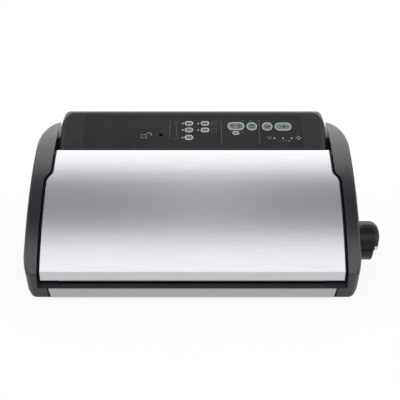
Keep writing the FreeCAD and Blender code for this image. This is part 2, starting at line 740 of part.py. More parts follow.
def housing_corners(inset):
    """Prism along Y whose round upper corners trim the housing's ends, drawn in by inset."""
    half = HOUSING_HALF - inset
    top = panel_point(PANEL_LENGTH, HUMP_R).z + HUMP_R - inset
    prism = rounded_box(-half, half, -FAR, top, -FAR, FAR, HOUSING_CORNER_R - inset)
    prism.rotate(Vector(0, 0, 0), Vector(1, 0, 0), 90)
    return prism


def brow_trim():
    """Sliver outside the rounded edge between the housing's upright front and the panel."""
    reach = BROW_R * math.tan(math.radians(90 - PANEL_SLOPE) / 2)
    edge = panel_point(0, 0)
    low = edge - side(0, reach)
    high = panel_point(reach, 0)
    centre = low + side(BROW_R, 0)
    middle = centre + (edge - centre).normalize() * BROW_R
    return across([line(high, edge), line(edge, low), arc(low, middle, high)], -HOUSING_HALF, HOUSING_HALF)


def standoff_places():
    margin = 2 * SCREW_HEAD_R
    xs = (-BOARD_HALF + margin, BOARD_HALF - margin)
    ys = (BOARD_LOW + margin, BOARD_HIGH - margin)
    return [(x, y) for x in xs for y in ys]


def buttons():
    """Each button's name, place across and up the panel, length and width."""
    return [(name, FASCIA_HALF - from_end, up, length, width)
            for name, from_end, up, length, width in BUTTONS]


def lamp_places():
    return [(FASCIA_HALF - from_end, up) for from_end, up in LAMPS]


def hole_size(length, width):
    return length - 2 * BUTTON_RIM, width - 2 * BUTTON_RIM


def panel_holes(z0, z1):
    """Openings for the buttons, lamps and port through the panel, in the panel's own axes."""
    holes = [stadium(x, y, *hole_size(length, width), z0, z1) for _, x, y, length, width in buttons()]
    holes += [rod_z(x, y, z0, z1, LAMP_R) for x, y in lamp_places()]
    holes.append(rod_z(PORT_X, PORT_UP, z0, z1, PORT_BORE_R + PORT_WALL))
    return holes


def control_housing():
    shell = housing_form(0, 0, HOUSING_HALF, housing_low())
    rim = []
    for edge in shell.Edges:
        middle = edge.valueAt((edge.FirstParameter + edge.LastParameter) / 2)
        if abs(abs(middle.x) - HOUSING_HALF) < TOUCH and middle.z > PANEL_Z:
            rim.append(edge)
    shell = shell.makeFillet(HOUSING_EDGE_R, rim).common(housing_corners(0)).cut(brow_trim())
    inside = housing_form(WALL, PANEL_WALL, HOUSING_HALF - PANEL_WALL, 0).common(housing_corners(PANEL_WALL))
    recess = rounded_box(-FASCIA_HALF - FASCIA_CLEAR, FASCIA_HALF + FASCIA_CLEAR, FASCIA_LOW - FASCIA_CLEAR,
                         FASCIA_HIGH + FASCIA_CLEAR, -RECESS, PANEL_WALL, FASCIA_R)
    cuts = [recess] + panel_holes(-2 * PANEL_WALL, PANEL_WALL)
    shell = shell.cut(inside).cut(Part.makeCompound([on_panel(cut) for cut in cuts]))
    post_top = -RECESS - FASCIA_CLEAR
    posts = [on_panel(rod_z(x, y, BOARD_TOP, post_top, SCREW_HEAD_R)) for x, y in standoff_places()]
    return fuse([shell] + posts).cut(board_screws())


def control_fascia():
    top = FASCIA_T - RECESS
    plate = rounded_box(-FASCIA_HALF, FASCIA_HALF, FASCIA_LOW, FASCIA_HIGH, -RECESS, top, FASCIA_R)
    return on_panel(plate.cut(Part.makeCompound(panel_holes(-RECESS, top))))


def button_bezels():
    z0 = FASCIA_T - RECESS
    rings = []
    for _, x, y, length, width in buttons():
        ring = stadium(x, y, length, width, z0, z0 + BUTTON_PROUD)
        rings.append(on_panel(ring.cut(stadium(x, y, *hole_size(length, width), z0, z0 + BUTTON_PROUD))))
    return Part.makeCompound(rings)


def button(x, y, length, width):
    long, wide = hole_size(length, width)
    flange_top = -PANEL_WALL - BUTTON_GAP
    flange_low = flange_top - BUTTON_FLANGE_T
    cap = stadium(x, y, long - 2 * BUTTON_GAP, wide - 2 * BUTTON_GAP, flange_low, BUTTON_TOP)
    upper = [e for e in cap.Edges if abs(e.CenterOfMass.z - BUTTON_TOP) < TOUCH]
    cap = cap.makeFillet(BUTTON_EDGE_R, upper)
    flange = stadium(x, y, long + 2 * BUTTON_FLANGE, wide + 2 * BUTTON_FLANGE, flange_low, flange_top)
    stem = rod_z(x, y, BUTTON_FOOT, flange_low, BUTTON_STEM_R)
    return on_panel(fuse([cap, flange, stem]))


def indicator_lenses():
    top = FASCIA_T - RECESS + FASCIA_CLEAR
    return Part.makeCompound([on_panel(rod_z(x, y, -PANEL_WALL, top, LAMP_R)) for x, y in lamp_places()])


def board_screws():
    screws = []
    for x, y in standoff_places():
        low = BOARD_TOP - BOARD_T
        head = rod_z(x, y, low - SCREW_HEAD_T, low, SCREW_HEAD_R)
        screws.append(on_panel(fuse([head, rod_z(x, y, low, -PANEL_WALL - SCREW_HEAD_T, SCREW_R)])))
    return Part.makeCompound(screws)


def control_board():
    board = box(-BOARD_HALF, BOARD_HALF, BOARD_LOW, BOARD_HIGH, BOARD_TOP - BOARD_T, BOARD_TOP)
    board = board.cut(rod_z(PORT_X, PORT_UP, -FAR, FAR, PORT_BORE_R + PORT_WALL + PORT_CLEAR))
    return on_panel(board).cut(board_screws())


def tact_switches():
    half = SWITCH_SIZE / 2
    bodies = [box(x - half, x + half, y - half, y + half, BOARD_TOP, BOARD_TOP + SWITCH_HEIGHT)
              for _, x, y, _, _ in buttons()]
    return Part.makeCompound([on_panel(body) for body in bodies])


def accessory_port():
    top = FASCIA_T - RECESS
    tube = rod_z(PORT_X, PORT_UP, -PORT_DEPTH, top, PORT_BORE_R + PORT_WALL)
    return on_panel(tube.cut(rod_z(PORT_X, PORT_UP, -PORT_DEPTH, top, PORT_BORE_R)))


def hose(points):
    """Tube along straight runs joined by round bends."""
    edges = []
    start = points[0]
    for before, corner, after in zip(points, points[1:], points[2:]):
        heading = (corner - before).normalize()
        leaving = (after - corner).normalize()
        half_turn = heading.getAngle(leaving) / 2
        trim = HOSE_BEND * math.tan(half_turn)
        first = corner - heading * trim
        last = corner + leaving * trim
        inward = (leaving - heading).normalize()
        edges.append(line(start, first))
        edges.append(arc(first, corner + inward * (HOSE_BEND / math.cos(half_turn) - HOSE_BEND), last))
        start = last
    edges.append(line(start, points[-1]))
    path = Part.Wire(edges)
    tubes = []
    for r in (HOSE_R, HOSE_BORE_R):
        ring = Part.Wire(Part.makeCircle(r, points[0], points[1] - points[0]))
        tubes.append(path.makePipeShell([ring], True, True))
    return tubes[0].cut(tubes[1])


def port_drop():
    """Point under the accessory port where its hose turns straight down."""
    return PANEL.multVec(Vector(PORT_X, PORT_UP, -PORT_DEPTH - HOSE_RISE))


def accessory_hose():
    start = PANEL.multVec(Vector(PORT_X, PORT_UP, -PORT_DEPTH))
    turn = port_drop()
    return hose([start, turn, Vector(turn.x, turn.y, VALVE_TOP)])


def solenoid_valve():
    place = port_drop()
    return rod_z(place.x, place.y, FLOOR_TOP, VALVE_TOP, VALVE_R)


def suction_z():
    return (FLOOR_TOP + DECK_TOP - DECK_T) / 2


def suction_elbow():
    y = drip_middle()
    top = DECK_TOP - DECK_T
    block = box(SUCTION_X - ELBOW_HALF, SUCTION_X + ELBOW_HALF, y - ELBOW_HALF, y + ELBOW_HALF,
                FLOOR_TOP, top)
    down = rod_z(SUCTION_X, y, suction_z(), top, HOSE_BORE_R)
    return block.cut(fuse([down, rod_y(SUCTION_X, y, y + ELBOW_HALF, suction_z(), HOSE_BORE_R)]))


def vacuum_hose():
    y_end = PUMP_Y - PUMP_HALF
    z_end = suction_z() + HOSE_RISE
    stops = ((drip_middle() + ELBOW_HALF, suction_z()), (y_end - HOSE_LAST - HOSE_CLIMB, suction_z()),
             (y_end - HOSE_LAST, z_end), (y_end, z_end))
    return hose([Vector(SUCTION_X, y, z) for y, z in stops])


def pump_floor():
    return FLOOR_TOP + PLATE_T


def pump_body():
    low = pump_floor()
    case = rounded_box(PUMP_X - PUMP_HALF, PUMP_X + PUMP_HALF, PUMP_Y - PUMP_HALF, PUMP_Y + PUMP_HALF, low,
                       low + PUMP_HEIGHT, PLATE_MARGIN)
    top = low + PUMP_HEIGHT + PLATE_MARGIN
    return fuse([case, rod_z(PUMP_X, PUMP_Y, low, top, PUMP_HALF - PLATE_MARGIN)])


def pump_motor():
    start = PUMP_X + PUMP_HALF
    return rod_x(start, start + MOTOR_LENGTH, PUMP_Y, pump_floor() + MOTOR_R, MOTOR_R)


def plate_corners():
    x0 = PUMP_X - PUMP_HALF - 2 * PLATE_MARGIN
    x1 = PUMP_X + PUMP_HALF + MOTOR_LENGTH
    half = PUMP_HALF + 2 * PLATE_MARGIN
    return x0, x1, PUMP_Y - half, PUMP_Y + half


def pump_plate():
    plate = box(*plate_corners(), FLOOR_TOP, pump_floor())
    return plate.cut(pump_screws())


def pump_screws():
    x0, x1, y0, y1 = plate_corners()
    screws = []
    for x in (x0 + PLATE_MARGIN, x1 - PLATE_MARGIN):
        for y in (y0 + PLATE_MARGIN, y1 - PLATE_MARGIN):
            head = rod_z(x, y, pump_floor(), pump_floor() + SCREW_HEAD_T, SCREW_HEAD_R)
            screws.append(fuse([head, rod_z(x, y, FLOOR_TOP, pump_floor(), SCREW_R)]))
    return Part.makeCompound(screws)


def transformer():
    deep = CORE_DEPTH / 2
    top = FLOOR_TOP + CORE_HEIGHT
    core = box(TRANSFORMER_X - CORE_HALF, TRANSFORMER_X + CORE_HALF,
               TRANSFORMER_Y - deep, TRANSFORMER_Y + deep, FLOOR_TOP, top)
    coil = rounded_box(TRANSFORMER_X - CORE_HALF + COIL_MARGIN, TRANSFORMER_X + CORE_HALF - COIL_MARGIN,
                       TRANSFORMER_Y - deep - COIL_MARGIN, TRANSFORMER_Y + deep + COIL_MARGIN,
                       FLOOR_TOP + COIL_MARGIN, top - COIL_MARGIN, COIL_MARGIN / 2)
    return fuse([core, coil])


def latch_shaft():
    return rod_x(-BRACKET_X - BRACKET_T / 2, KNOB_X + KNOB_DISC, LATCH_Y, LATCH_Z, SHAFT_R)


def shaft_bracket():
    x0 = BRACKET_X - BRACKET_T / 2
    x1 = BRACKET_X + BRACKET_T / 2
    post = box(x0, x1, LATCH_Y - BRACKET_HALF, LATCH_Y + BRACKET_HALF, FLOOR_TOP, LATCH_Z)
    head = rod_x(x0, x1, LATCH_Y, LATCH_Z, BRACKET_HALF)
    return fuse([post, head]).cut(rod_x(x0, x1, LATCH_Y, LATCH_Z, SHAFT_R + SHAFT_RUN))


def shaft_brackets():
    return Part.makeCompound([shaft_bracket(), mirrored(shaft_bracket())])


def shaft_clips():
    x1 = BRACKET_X - BRACKET_T / 2 - CLIP_GAP
    ring = rod_x(x1 - CLIP_T, x1, LATCH_Y, LATCH_Z, CLIP_R).cut(latch_shaft())
    return Part.makeCompound([ring, mirrored(ring)])


def latch_hook(x):
    x0 = x - HOOK_T / 2
    x1 = x + HOOK_T / 2
    tip_z = LATCH_Z + HOOK_REACH - HOOK_HALF
    arm = box(x0, x1, LATCH_Y - HOOK_HALF, LATCH_Y + HOOK_HALF, LATCH_Z, tip_z)
    hub = rod_x(x0, x1, LATCH_Y, LATCH_Z, HOOK_HUB_R)
    return fuse([hub, arm, rod_x(x0, x1, LATCH_Y, tip_z, HOOK_HALF)]).cut(latch_shaft())


def turned(shape):
    """A shape drawn with the knob's grip upright, turned to the grip's place at rest."""
    placed = shape.copy()
    placed.rotate(Vector(0, LATCH_Y, LATCH_Z), Vector(1, 0, 0), -GRIP_LEAN)
    return placed


def grip_prism(outline, half):
    """Prism across the knob, from an outline of heights over the axis and distances out from the body."""
    corners = [Vector(KNOB_X + out, LATCH_Y - half, LATCH_Z + up) for up, out in outline]
    return Part.Face(Part.makePolygon(corners + corners[:1])).extrude(Vector(0, 2 * half, 0))


def knob_pointer():
    """Bar let into the grip's outer face at its lower end."""
    lean = math.atan2(KNOB_REACH - KNOB_DISC, GRIP_CREST + GRIP_CUT)
    run_up, run_out = math.cos(lean), math.sin(lean)
    outline = []
    for along, over in ((-POINTER_PROUD, -POINTER_T), (POINTER_LENGTH, -POINTER_T),
                        (POINTER_LENGTH, POINTER_PROUD), (-POINTER_PROUD, POINTER_PROUD)):
        up = along * run_up - over * run_out - GRIP_CUT
        outline.append((up, KNOB_DISC + along * run_out + over * run_up))
    return turned(grip_prism(outline, POINTER_HALF))


def grip_grooves(r):
    grooves = []
    start = KNOB_X + GROOVE_START
    for degrees in GROOVE_ANGLES:
        for s in (1, -1):
            y = LATCH_Y + s * r * math.cos(math.radians(degrees))
            z = LATCH_Z + r * math.sin(math.radians(degrees))
            grooves.append(rod_x(start, start + GROOVE_LENGTH, y, z, GROOVE_R))
    return Part.makeCompound(grooves)


def rounded_rod(x1, radius, edge_r):
    """Rod from the knob's inner end to x1, rounded at its outer rim."""
    rod = rod_x(KNOB_X, x1, LATCH_Y, LATCH_Z, radius)
    return rod.makeFillet(edge_r, [e for e in rod.Edges if abs(e.CenterOfMass.x - x1) < TOUCH])


def knob_disc():
    """Round body of the knob, with a sloping outer edge that meets the grip's outer face."""
    rim = KNOB_X + KNOB_RIM
    start = Vector(rim, LATCH_Y, LATCH_Z)
    cone = Part.makeCone(KNOB_R, GRIP_CUT, KNOB_DISC - KNOB_RIM, start, Vector(1, 0, 0))
    disc = fuse([rod_x(KNOB_X, rim, LATCH_Y, LATCH_Z, KNOB_R), cone])
    return disc.makeFillet(KNOB_EDGE_R, [e for e in disc.Edges if abs(e.CenterOfMass.x - rim) < TOUCH])


def grip_line():
    """Groove round the disc along the lower edge of the grip."""
    low = -GRIP_CUT - GRIP_LINE
    band = grip_prism(((low, 0), (-GRIP_CUT, 0), (-GRIP_CUT, KNOB_RIM), (low, KNOB_RIM)), KNOB_R)
    return band.cut(rod_x(KNOB_X, KNOB_OUT, LATCH_Y, LATCH_Z, KNOB_R - GRIP_LINE_DEPTH))


def latch_knob():
    """Round knob whose upper part is a thicker grip with grooves, seen at rest turned by the grip's lean."""
    grip_r = KNOB_R + GRIP_STEP
    outline = ((-GRIP_CUT, 0), (grip_r, 0), (grip_r, KNOB_REACH), (GRIP_CREST, KNOB_REACH),
               (-GRIP_CUT, KNOB_DISC))
    grip = rounded_rod(KNOB_OUT, grip_r, GRIP_EDGE_R).common(grip_prism(outline, grip_r))
    disc = knob_disc().cut(grip_line())
    knob = fuse([disc, grip.cut(grip_grooves(grip_r))])
    return turned(knob).cut(latch_shaft()).cut(knob_pointer())


PIECES = {
    "base_tray": base_tray,
    "front_strip": front_strip,
    "side_cover_left": side_cover_left,
    "side_cover_right": side_cover_right,
    "base_deck": base_deck,
    "rear_cover": rear_cover,
    "cord_gland": cord_gland,
    "rubber_feet": rubber_feet,
    "base_screws": base_screws,
    "control_housing": control_housing,
    "control_fascia": control_fascia,
    "button_bezels": button_bezels,
    "indicator_lenses": indicator_lenses,
    "control_board": control_board,
    "board_screws": board_screws,
    "tact_switches": tact_switches,
    "accessory_port": accessory_port,
    "accessory_hose": accessory_hose,
    "solenoid_valve": solenoid_valve,
    "suction_elbow": suction_elbow,
    "vacuum_hose": vacuum_hose,
    "pump_body": pump_body,
    "pump_motor": pump_motor,
    "pump_plate": pump_plate,
    "pump_screws": pump_screws,
    "transformer": transformer,
    "seal_bar": seal_bar,
    "heating_element": heating_element,
    "seal_tape": seal_tape,
    "drip_tray": drip_tray,
    "lower_gasket": lower_gasket,
    "hinge_bushes": hinge_bushes,
    "shaft_brackets": shaft_brackets,
    "lid_skin": lid_skin,
    "lid_frame": lid_frame,
    "upper_gasket": upper_gasket,
    "pressure_strip": pressure_strip,
    "hinge_pins": hinge_pins,
    "latch_knob": latch_knob,
    "knob_pointer": knob_pointer,
    "latch_shaft": latch_shaft,
    "shaft_clips": shaft_clips,
    "latch_hook_left": lambda: latch_hook(-HOOK_X),
    "latch_hook_right": lambda: latch_hook(HOOK_X),
}


def write(name, shape):
    placed = shape.copy()
    placed.translate(SHIFT)
    placed.exportStep(os.path.join("parts", name + ".step"))


def main():
    os.makedirs("parts", exist_ok=True)
    for name, make in PIECES.items():
        write(name, make())
    for name, x, y, length, width in buttons():
        write(name, button(x, y, length, width))


if __name__ == "__main__":
    main()
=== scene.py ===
"""Looks of the countertop vacuum sealer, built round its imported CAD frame, in metres."""

import json
import math

import bmesh
import bpy
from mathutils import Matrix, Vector
from mathutils.bvhtree import BVHTree

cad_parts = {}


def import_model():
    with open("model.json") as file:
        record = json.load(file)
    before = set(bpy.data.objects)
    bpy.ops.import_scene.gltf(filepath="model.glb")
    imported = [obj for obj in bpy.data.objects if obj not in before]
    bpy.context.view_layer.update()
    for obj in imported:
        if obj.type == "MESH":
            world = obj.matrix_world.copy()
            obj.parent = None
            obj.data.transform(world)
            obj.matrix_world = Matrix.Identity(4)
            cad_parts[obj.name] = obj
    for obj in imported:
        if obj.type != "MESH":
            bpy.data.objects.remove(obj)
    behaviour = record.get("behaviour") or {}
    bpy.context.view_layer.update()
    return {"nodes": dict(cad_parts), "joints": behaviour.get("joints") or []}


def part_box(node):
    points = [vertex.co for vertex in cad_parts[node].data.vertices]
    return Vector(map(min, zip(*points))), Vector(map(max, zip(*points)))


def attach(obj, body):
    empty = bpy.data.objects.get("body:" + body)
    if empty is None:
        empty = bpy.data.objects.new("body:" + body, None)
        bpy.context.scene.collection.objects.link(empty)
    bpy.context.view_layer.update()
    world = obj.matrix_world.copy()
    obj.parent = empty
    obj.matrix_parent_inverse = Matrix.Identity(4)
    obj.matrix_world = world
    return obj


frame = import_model()
nodes = frame["nodes"]

MM = 0.001

# Camera: it looks along +Y, down at the lid
CAMERA_PLACE = (-0.0043, -0.9558, 0.620)
CAMERA_DOWN = 30.0
CAMERA_LENS = 81.2
CAMERA_SENSOR = 36.0

# Lights: name, place, size and power; all of them face the target
LIGHT_TARGET = (0, 0, 0.08)
LIGHTS = (
    ("front_softbox", (0, -0.95, 1.25), (2.6, 0.9), 11),
    ("back_softbox", (0, 0.97, 1.46), (2.6, 0.8), 11),
    ("low_back_softbox", (0, 1.5, 0.9), (3.0, 0.8), 16.5),
    ("centre_glow", (0, 0.05, 1.5), (0.3, 0.9), 0.22),
    ("left_fill", (-1.6, -0.3, 0.7), (0.9, 0.9), 5),
    ("right_fill", (1.6, -0.3, 0.7), (0.9, 0.9), 5),
)

# Floor: its side in metres, its own look, and the share of its white that no shadow darkens
FLOOR_SIDE = 12
FLOOR_TONE = (0.9, 0.9, 0.9, 1)
FLOOR_ROUGH = 0.8
FLOOR_SHINE = 0.1
FLOOR_WHITE = 0.88

# Sky: colours from the horizon to overhead, and the band's height as the sine of its elevation
SKY_HORIZON = (1, 1, 1, 1)
SKY_LOW = (0.57, 0.57, 0.575, 1)
SKY_TOP = (0.238, 0.238, 0.248, 1)
SKY_BAND = 0.12

# Seam between the base and the covers, in millimetres; corners as in the body's outline from above
SEAM_HALF = 0.35
SEAM_PROUD = 0.05
SEAM_DEPTH = 0.5
FRONT_CORNER = (11.0, 21.0)
REAR_CORNER = (31.0, 60.0)
MOUTH_MARGIN = 16.0
CORNER_STEPS = 16

# Dark gap beside each end of the steel strip, its widths at foot and top, in millimetres
GAP_WIDTHS = (3.1, 2.0)
GAP_PROUD = 0.1
GAP_DEPTH = 0.5
STRIP_SLANT = 2.5

# Painted highlight, a silver-grey patch on the knob's rim where light glints: places out from the body
# and up from the axis in millimetres
# The lean of the grip is in degrees
GRIP_LEAN = 30.0
HIGHLIGHT_OUT = (17.9, 20.95)
HIGHLIGHT_UP = (-9.5, -5.8)
HIGHLIGHT_PROUD = 0.15
HIGHLIGHT_DEPTH = 0.5
HIGHLIGHT_STEPS = 8

# Printed marks on the panel: places across and up the panel in millimetres
PRINT_LIFT = 0.04
PRINT_DEPTH = 0.12
LINE_WIDTH = 0.42
FASCIA_LOW = 2.5
FASCIA_RIGHT = 135.0
ROUND_SIDES = 16
ARC_STEPS = 12
RING_SWEEP = (0, 340)
RING_STEPS = 20
GLYPH_DOT = 1.2

# Lines up the panel that part the groups of buttons: place across, foot and top
DIVIDERS = ((-30.9, 16.0, 47.5), (34.1, 9.6, 47.5), (81.8, 9.6, 47.5))

# Faint symbols beside the buttons
SLIDE_LINE = [(-22.4, 21.5), (-22.4, 38.5)]
SLIDE_RING = (-22.5, 42.3, 2.2, 0, 330)
SLIDE_BOWL = [(-27, 18.6), (-25.2, 16.6), (-21.6, 16.6), (-19.8, 18.6)]
SQUARE_X = 24.7
SQUARE_HEIGHTS = (42.3, 29.9)
SQUARE_HALVES = (3.0, 3.4)
SQUARE_DOTS = ((23.6, 41.4, 0.5), (25.8, 43.2, 0.5))
SIDE_LINES = (
    [(43.5, 29.6), (44.6, 28.2), (46.6, 27.2)],
    [(61.5, 29.6), (60.2, 28.2), (58.0, 27.2)],
    [(109.3, 13.5), (117.4, 13.5)],
)

# Pale dots round the large buttons: places and radius
PALE_DOTS = (
    (92.4, 19.2, 0.7), (95.8, 19.2, 0.7), (94.0, 16.4, 0.7),
    (130.4, 20.6, 0.9), (130.4, 16.0, 0.9), (128.2, 18.3, 0.9), (132.6, 18.3, 0.9),
    (118.4, 13.5, 0.8), (62.0, 46.2, 0.5), (70.5, 46.2, 0.5), (81.8, 46.8, 0.6),
)

# Open lock beside the port: body, bow and their line widths
LOCK_BODY = (-63.1, 20.8, 3.2, 2.6)
LOCK_BODY_WIDTH = 0.6
LOCK_BOW = (-56.6, 24.0, 2.6, 170, -60)
LOCK_BOW_WIDTH = 0.7

# Brushed steel: streaks per metre along each axis, and their share in tone, roughness and height
STREAK_SCALE = (30, 1300, 1300)
BROAD_SCALE = (12, 500, 500)
BRUSH_STRETCH = 0.55
BRUSH_SHADE = 0.9
BRUSH_ROUGH = 0.012
BRUSH_BUMP = (0.08, 0.00002)

# Moulded plastic and rubber: slow clouds in tone and roughness, and a pit's depth over its width
CLOUD_SCALE = (18, 18, 18)
CLOUD_SHADE = 0.88
CLOUD_ROUGH = 0.03
PIT_SHARE = 0.4

# Middle part of a noise, which is stretched over the whole band
NOISE_BAND = (0.3, 0.7)

# Lamp lenses
LENS_SCALE = (400, 400, 400)
LENS_TONES = ((0.34, 0.35, 0.35), (0.46, 0.47, 0.47))
LENS_ROUGH = 0.35
LENS_CLEAR = 0.15

# Tape over the heating element
WEAVE_SCALE = 600.0
WEAVE_TONES = ((0.1, 0.066, 0.04), (0.14, 0.095, 0.056))
WEAVE_ROUGH = 0.5
WEAVE_BUMP = (0.3, 0.0001)


def group_of(*names):
    return [nodes[name] for name in names]


BUTTON_NAMES = [name for name in nodes if name.startswith("button_") and name != "button_bezels"]


# Materials

def new_material(name):
    material = bpy.data.materials.new(name)
    material.use_nodes = True
    tree = material.node_tree
    return material, tree, tree.nodes["Principled BSDF"]


def object_coords(tree, scale):
    """Object coordinates in metres, stretched by scale along each axis."""
    coords = tree.nodes.new("ShaderNodeTexCoord")
    mapping = tree.nodes.new("ShaderNodeMapping")
    mapping.inputs["Scale"].default_value = scale
    tree.links.new(coords.outputs["Object"], mapping.inputs["Vector"])
    return mapping.outputs["Vector"]


def noise(tree, scale, detail):
    texture = tree.nodes.new("ShaderNodeTexNoise")
    texture.inputs["Scale"].default_value = 1.0
    texture.inputs["Detail"].default_value = detail
    tree.links.new(object_coords(tree, scale), texture.inputs["Vector"])
    return texture.outputs["Fac"]


def ramp(tree, source, low, high):
    """Maps a noise to a band between two greys or colours."""
    node = tree.nodes.new("ShaderNodeValToRGB")
    for stop, place, tone in zip(node.color_ramp.elements, NOISE_BAND, (low, high)):
        stop.position = place
        stop.color = (*tone, 1)
    tree.links.new(source, node.inputs["Fac"])
    return node.outputs["Color"]


def spread(tree, source, low, high):
    """Maps a noise to a band between two numbers."""
    node = tree.nodes.new("ShaderNodeMapRange")
    node.inputs["From Min"].default_value = NOISE_BAND[0]
    node.inputs["From Max"].default_value = NOISE_BAND[1]
    node.inputs["To Min"].default_value = low
    node.inputs["To Max"].default_value = high
    tree.links.new(source, node.inputs["Value"])
    return node.outputs["Result"]


def add_bump(tree, shader, source, strength, distance):
    bump = tree.nodes.new("ShaderNodeBump")
    bump.inputs["Strength"].default_value = strength
    bump.inputs["Distance"].default_value = distance
    tree.links.new(source, bump.inputs["Height"])
    tree.links.new(bump.outputs["Normal"], shader.inputs["Normal"])


def brushed_steel(name, tone, rough):
    """Steel brushed along X: fine streaks in colour, roughness and height."""
    material, tree, shader = new_material(name)
    shader.inputs["Metallic"].default_value = 1.0
    shader.inputs["Anisotropic"].default_value = BRUSH_STRETCH
    tangent = tree.nodes.new("ShaderNodeTangent")
    tangent.direction_type = "RADIAL"
    tangent.axis = "X"
    tree.links.new(tangent.outputs["Tangent"], shader.inputs["Tangent"])
    streaks = noise(tree, STREAK_SCALE, 4.0)
    broad = noise(tree, BROAD_SCALE, 2.0)
    low = tuple(c * BRUSH_SHADE for c in tone)
    tree.links.new(ramp(tree, streaks, low, tone), shader.inputs["Base Color"])
    mild = spread(tree, broad, rough - BRUSH_ROUGH, rough + BRUSH_ROUGH)
    tree.links.new(mild, shader.inputs["Roughness"])
    add_bump(tree, shader, streaks, *BRUSH_BUMP)
    return material


def moulded(name, tone, rough, grain, depth, shine=0.5):
    """Moulded plastic or rubber with a fine grain; grain is the size of one pit in millimetres."""
    material, tree, shader = new_material(name)
    pits = noise(tree, (1000 / grain,) * 3, 2.0)
    cloud = noise(tree, CLOUD_SCALE, 2.0)
    low = tuple(c * CLOUD_SHADE for c in tone)
    tree.links.new(ramp(tree, cloud, low, tone), shader.inputs["Base Color"])
    mild = spread(tree, cloud, rough - CLOUD_ROUGH, rough + CLOUD_ROUGH)
    tree.links.new(mild, shader.inputs["Roughness"])
    shader.inputs["Specular IOR Level"].default_value = shine
    add_bump(tree, shader, pits, depth, grain * MM * PIT_SHARE)
    return material


def lamp_lens(name):
    material, tree, shader = new_material(name)
    cloud = noise(tree, LENS_SCALE, 1.0)
    tree.links.new(ramp(tree, cloud, *LENS_TONES), shader.inputs["Base Color"])
    shader.inputs["Roughness"].default_value = LENS_ROUGH
    shader.inputs["Transmission Weight"].default_value = LENS_CLEAR
    return material


def woven_tape(name):
    """Coated glass cloth: a fine weave from two crossed waves."""
    material, tree, shader = new_material(name)
    waves = []
    for axis in ("X", "Y"):
        wave = tree.nodes.new("ShaderNodeTexWave")
        wave.bands_direction = axis
        wave.inputs["Scale"].default_value = WEAVE_SCALE
        tree.links.new(object_coords(tree, (1, 1, 1)), wave.inputs["Vector"])
        waves.append(wave.outputs["Fac"])
    weave = tree.nodes.new("ShaderNodeMath")
    weave.operation = "MAXIMUM"
    for source, socket in zip(waves, weave.inputs):
        tree.links.new(source, socket)
    tree.links.new(ramp(tree, weave.outputs[0], *WEAVE_TONES), shader.inputs["Base Color"])
    shader.inputs["Roughness"].default_value = WEAVE_ROUGH
    add_bump(tree, shader, weave.outputs[0], *WEAVE_BUMP)
    return material


STEEL = brushed_steel("steel_lid", (0.6, 0.607, 0.625), 0.3)
STRIP_STEEL = brushed_steel("steel_strip", (0.43, 0.435, 0.45), 0.36)
PLAIN_STEEL = brushed_steel("steel_plain", (0.5, 0.5, 0.52), 0.3)
SATIN_BLACK = moulded("black_satin", (0.0065, 0.0072, 0.0105), 0.3, 0.5, 0.05, 0.72)
HOUSING_BLACK = moulded("black_housing", (0.0055, 0.0058, 0.0072), 0.33, 0.5, 0.05, 0.48)
KNOB_BLACK = moulded("black_knob", (0.004, 0.0042, 0.005), 0.36, 0.5, 0.05, 0.28)
GRAIN_BLACK = moulded("black_grained", (0.036, 0.036, 0.038), 0.5, 1.1, 0.7)
DECK_GREY = moulded("deck_grey", (0.05, 0.05, 0.055), 0.45, 0.8, 0.2)
FRAME_BLACK = moulded("black_frame", (0.003, 0.003, 0.0035), 0.5, 0.5, 0.05, 0.12)
FILM_BLACK = moulded("black_film", (0.0065, 0.0066, 0.008), 0.3, 0.4, 0.04, 0.42)
RUBBER = moulded("black_rubber", (0.012, 0.012, 0.012), 0.75, 0.6, 0.2)
SILICONE = moulded("grey_silicone", (0.2, 0.2, 0.2), 0.6, 0.6, 0.12)
INNER_PLASTIC = moulded("inner_plastic", (0.08, 0.08, 0.085), 0.5, 0.6, 0.12)
BUTTON_GREY = moulded("button_grey", (0.165, 0.205, 0.205), 0.42, 0.4, 0.08)
# Silver-grey for the button rims and the knob's pointer, also used for the painted highlight on the
# knob
SILVER_AND_HIGHLIGHT = moulded("rim_silver_and_painted_highlight", (0.56, 0.61, 0.6), 0.34, 0.4, 0.05)
GLYPH_DARK = moulded("glyph_dark", (0.018, 0.024, 0.024), 0.6, 0.4, 0.05)
PRINT_GREY = moulded("print_grey", (0.13, 0.13, 0.135), 0.6, 0.4, 0.05)
PRINT_PALE = moulded("print_pale", (0.36, 0.36, 0.36), 0.6, 0.4, 0.05)
BOARD_GREEN = moulded("board_green", (0.03, 0.13, 0.05), 0.45, 0.5, 0.1)
CAST_METAL = moulded("cast_metal", (0.3, 0.3, 0.31), 0.5, 0.8, 0.3)
CORE_IRON = moulded("core_iron", (0.1, 0.1, 0.105), 0.55, 0.8, 0.3)
LENS = lamp_lens("lamp_lens")
TAPE = woven_tape("seal_tape")

